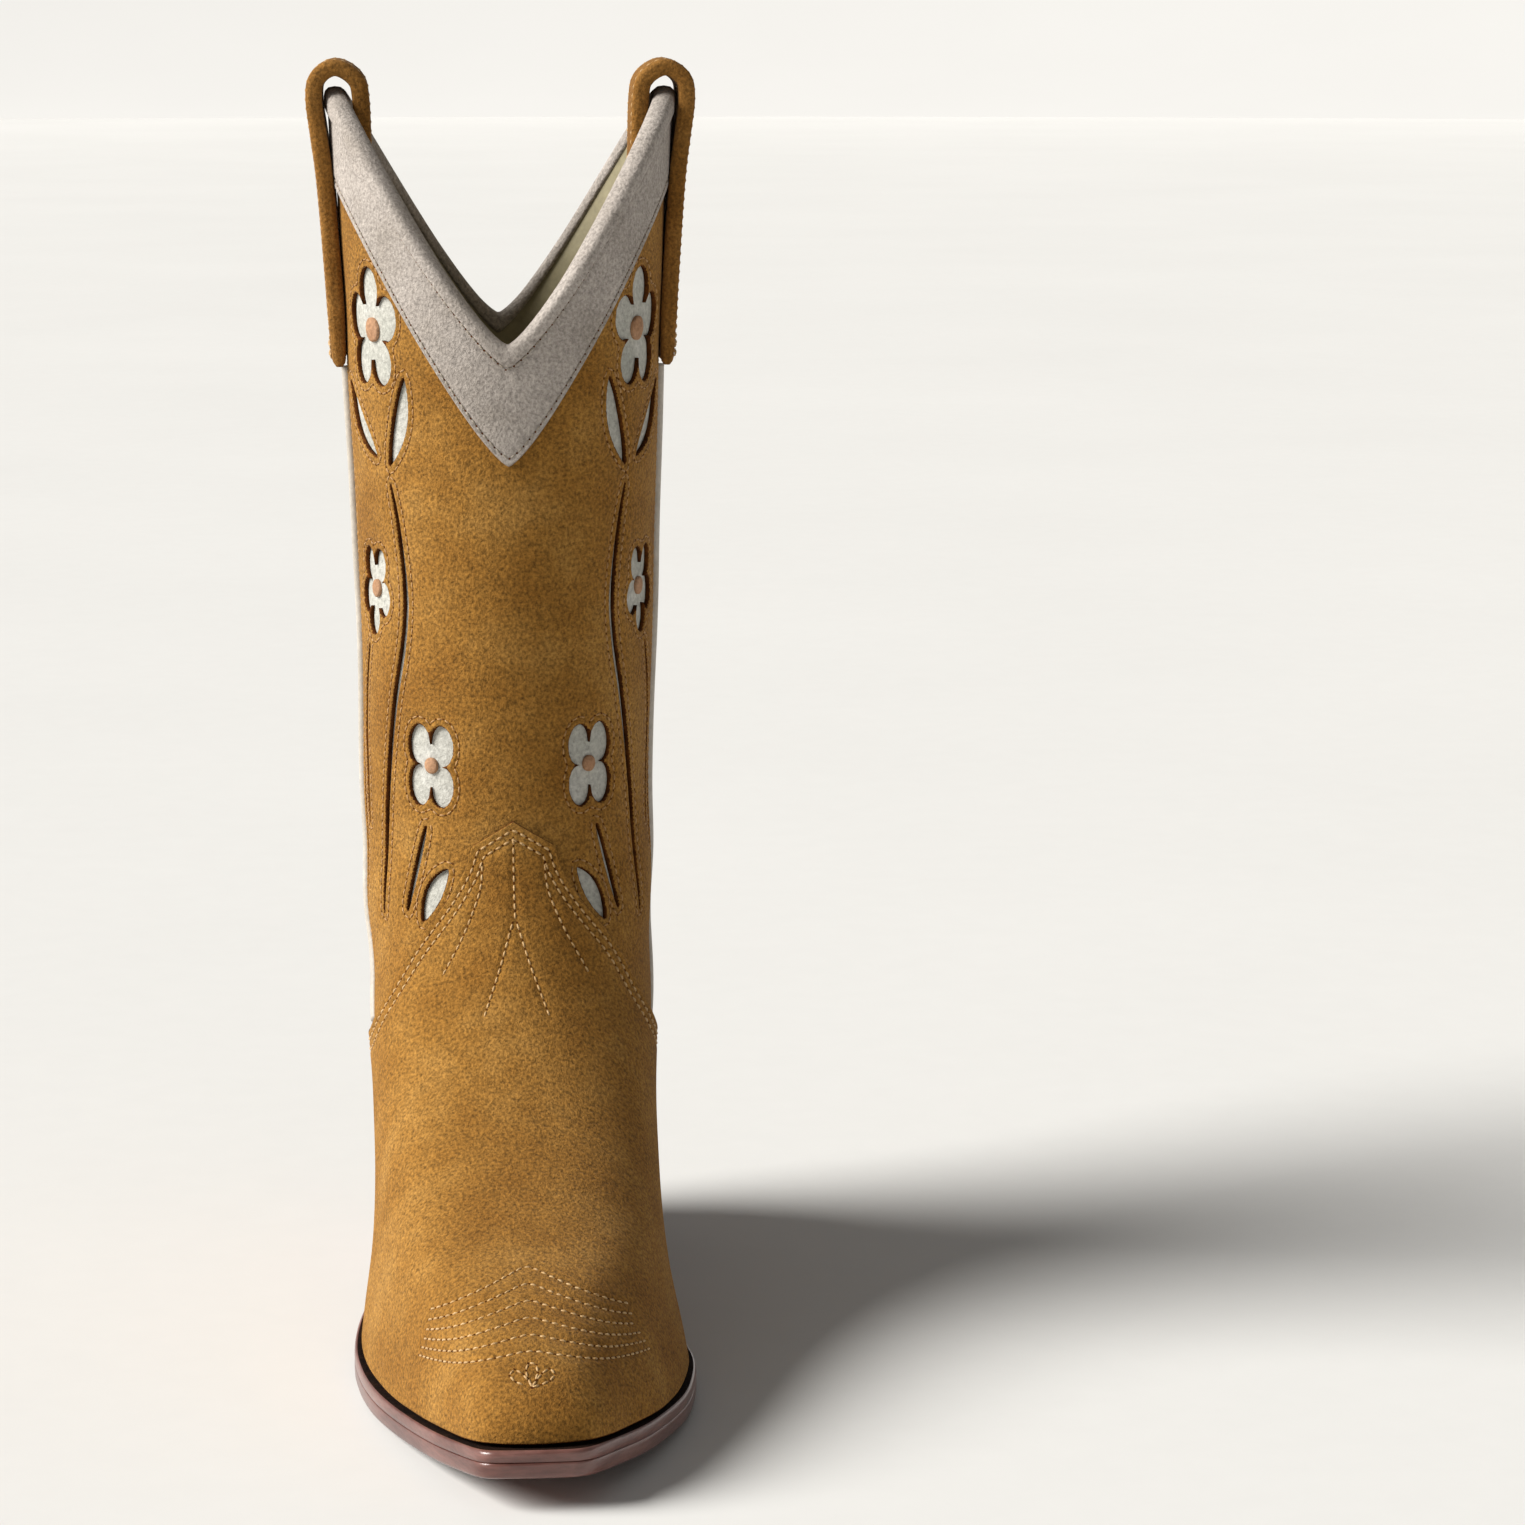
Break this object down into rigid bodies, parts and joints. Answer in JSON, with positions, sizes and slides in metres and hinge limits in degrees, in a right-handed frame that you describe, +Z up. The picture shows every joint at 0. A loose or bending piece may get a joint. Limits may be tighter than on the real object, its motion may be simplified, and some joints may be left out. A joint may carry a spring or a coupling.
{
  "type": "cowboy boot",
  "caption": "Tall right-foot western boot in tan suede with pale V collars, inlaid flower windows, pull straps, welted leather sole and stacked heel.",
  "frame": {"origin": "on the floor, under the middle of the boot's bounding box", "axes": "+Z up, -Y towards the toe, +X towards the inner (medial) side of the right foot"},
  "size_m": [0.1174, 0.2948, 0.3759],
  "materials": {
    "tan_suede": "napped suede, warm tan",
    "pale_suede": "napped suede, off-white",
    "strap_suede": "napped suede, a shade darker than the shaft",
    "white_piping": "smooth off-white bead",
    "lining_leather": "smooth olive-beige lining leather",
    "lining_cloth": "plain woven backing",
    "board": "pressed leather board",
    "insole_leather": "natural vegetable-tanned leather",
    "sock_leather": "thin smooth leather",
    "cork": "cork filler",
    "spring_steel": "ribbed spring steel strip",
    "nail_steel": "ring-shank nails",
    "brass_pin": "brass pins, cut flush",
    "sole_leather": "burnished red-brown sole leather, waxed",
    "welt_leather": "waxed dark welt",
    "stacked_leather": "stacked leather with fine horizontal grain lines",
    "heel_rubber": "blue-black rubber with fine ribs",
    "dark_thread": "waxed dark thread"
  },
  "bodies": {
    "foot": {"outsole": "sole_leather", "outsole_stitch_row": "dark_thread", "welt": "welt_leather", "heel_seat_rand": "welt_leather", "forepart_filler": "cork", "shank_spring": "spring_steel", "shank_cover": "board", "insole": "insole_leather", "sock_liner": "sock_leather", "shank_pegs": "brass_pin", "heel_cap_nails": "brass_pin", "heel_attaching_nails": "nail_steel", "heel_breast_cover": "sole_leather", "heel_cap": "heel_rubber", "heel_lift_1": "stacked_leather", "heel_lift_2": "stacked_leather", "heel_lift_3": "stacked_leather", "heel_lift_4": "stacked_leather", "vamp": "tan_suede", "counter_cover": "tan_suede", "vamp_interlining": "lining_cloth", "toe_box": "board", "heel_stiffener": "board", "vamp_lining": "lining_leather", "heel_lining": "lining_leather", "lateral_lower_piping": "white_piping", "medial_lower_piping": "white_piping"},
    "shaft": {"shaft_front": "tan_suede", "shaft_back": "tan_suede", "front_underlay": "pale_suede", "back_underlay": "pale_suede", "front_lining": "lining_leather", "back_lining": "lining_leather", "front_collar": "pale_suede", "back_collar": "pale_suede", "front_top_binding": "pale_suede", "back_top_binding": "pale_suede", "lateral_piping": "white_piping", "medial_piping": "white_piping"},
    "lateral_strap": {"lateral_pull_strap": "strap_suede"},
    "medial_strap": {"medial_pull_strap": "strap_suede"}
  },
  "joints": [
    {"name": "ankle_flex", "type": "hinge", "parent": "foot", "child": "shaft", "pos_m": [0, 0.0706, 0.105], "axis": [1, 0, 0], "range_deg": [-10, 14], "stiffness_Nm_per_rad": 3, "deforming": ["shaft_front", "shaft_back", "front_underlay", "back_underlay", "front_lining", "back_lining", "lateral_piping", "medial_piping"]},
    {"name": "lateral_strap_flex", "type": "hinge", "parent": "shaft", "child": "lateral_strap", "pos_m": [-0.052, 0.0856, 0.292], "axis": [1, 0, 0], "range_deg": [-3, 3], "stiffness_Nm_per_rad": 0.4},
    {"name": "medial_strap_flex", "type": "hinge", "parent": "shaft", "child": "medial_strap", "pos_m": [0.052, 0.0856, 0.292], "axis": [1, 0, 0], "range_deg": [-3, 3], "stiffness_Nm_per_rad": 0.4}
  ]
}
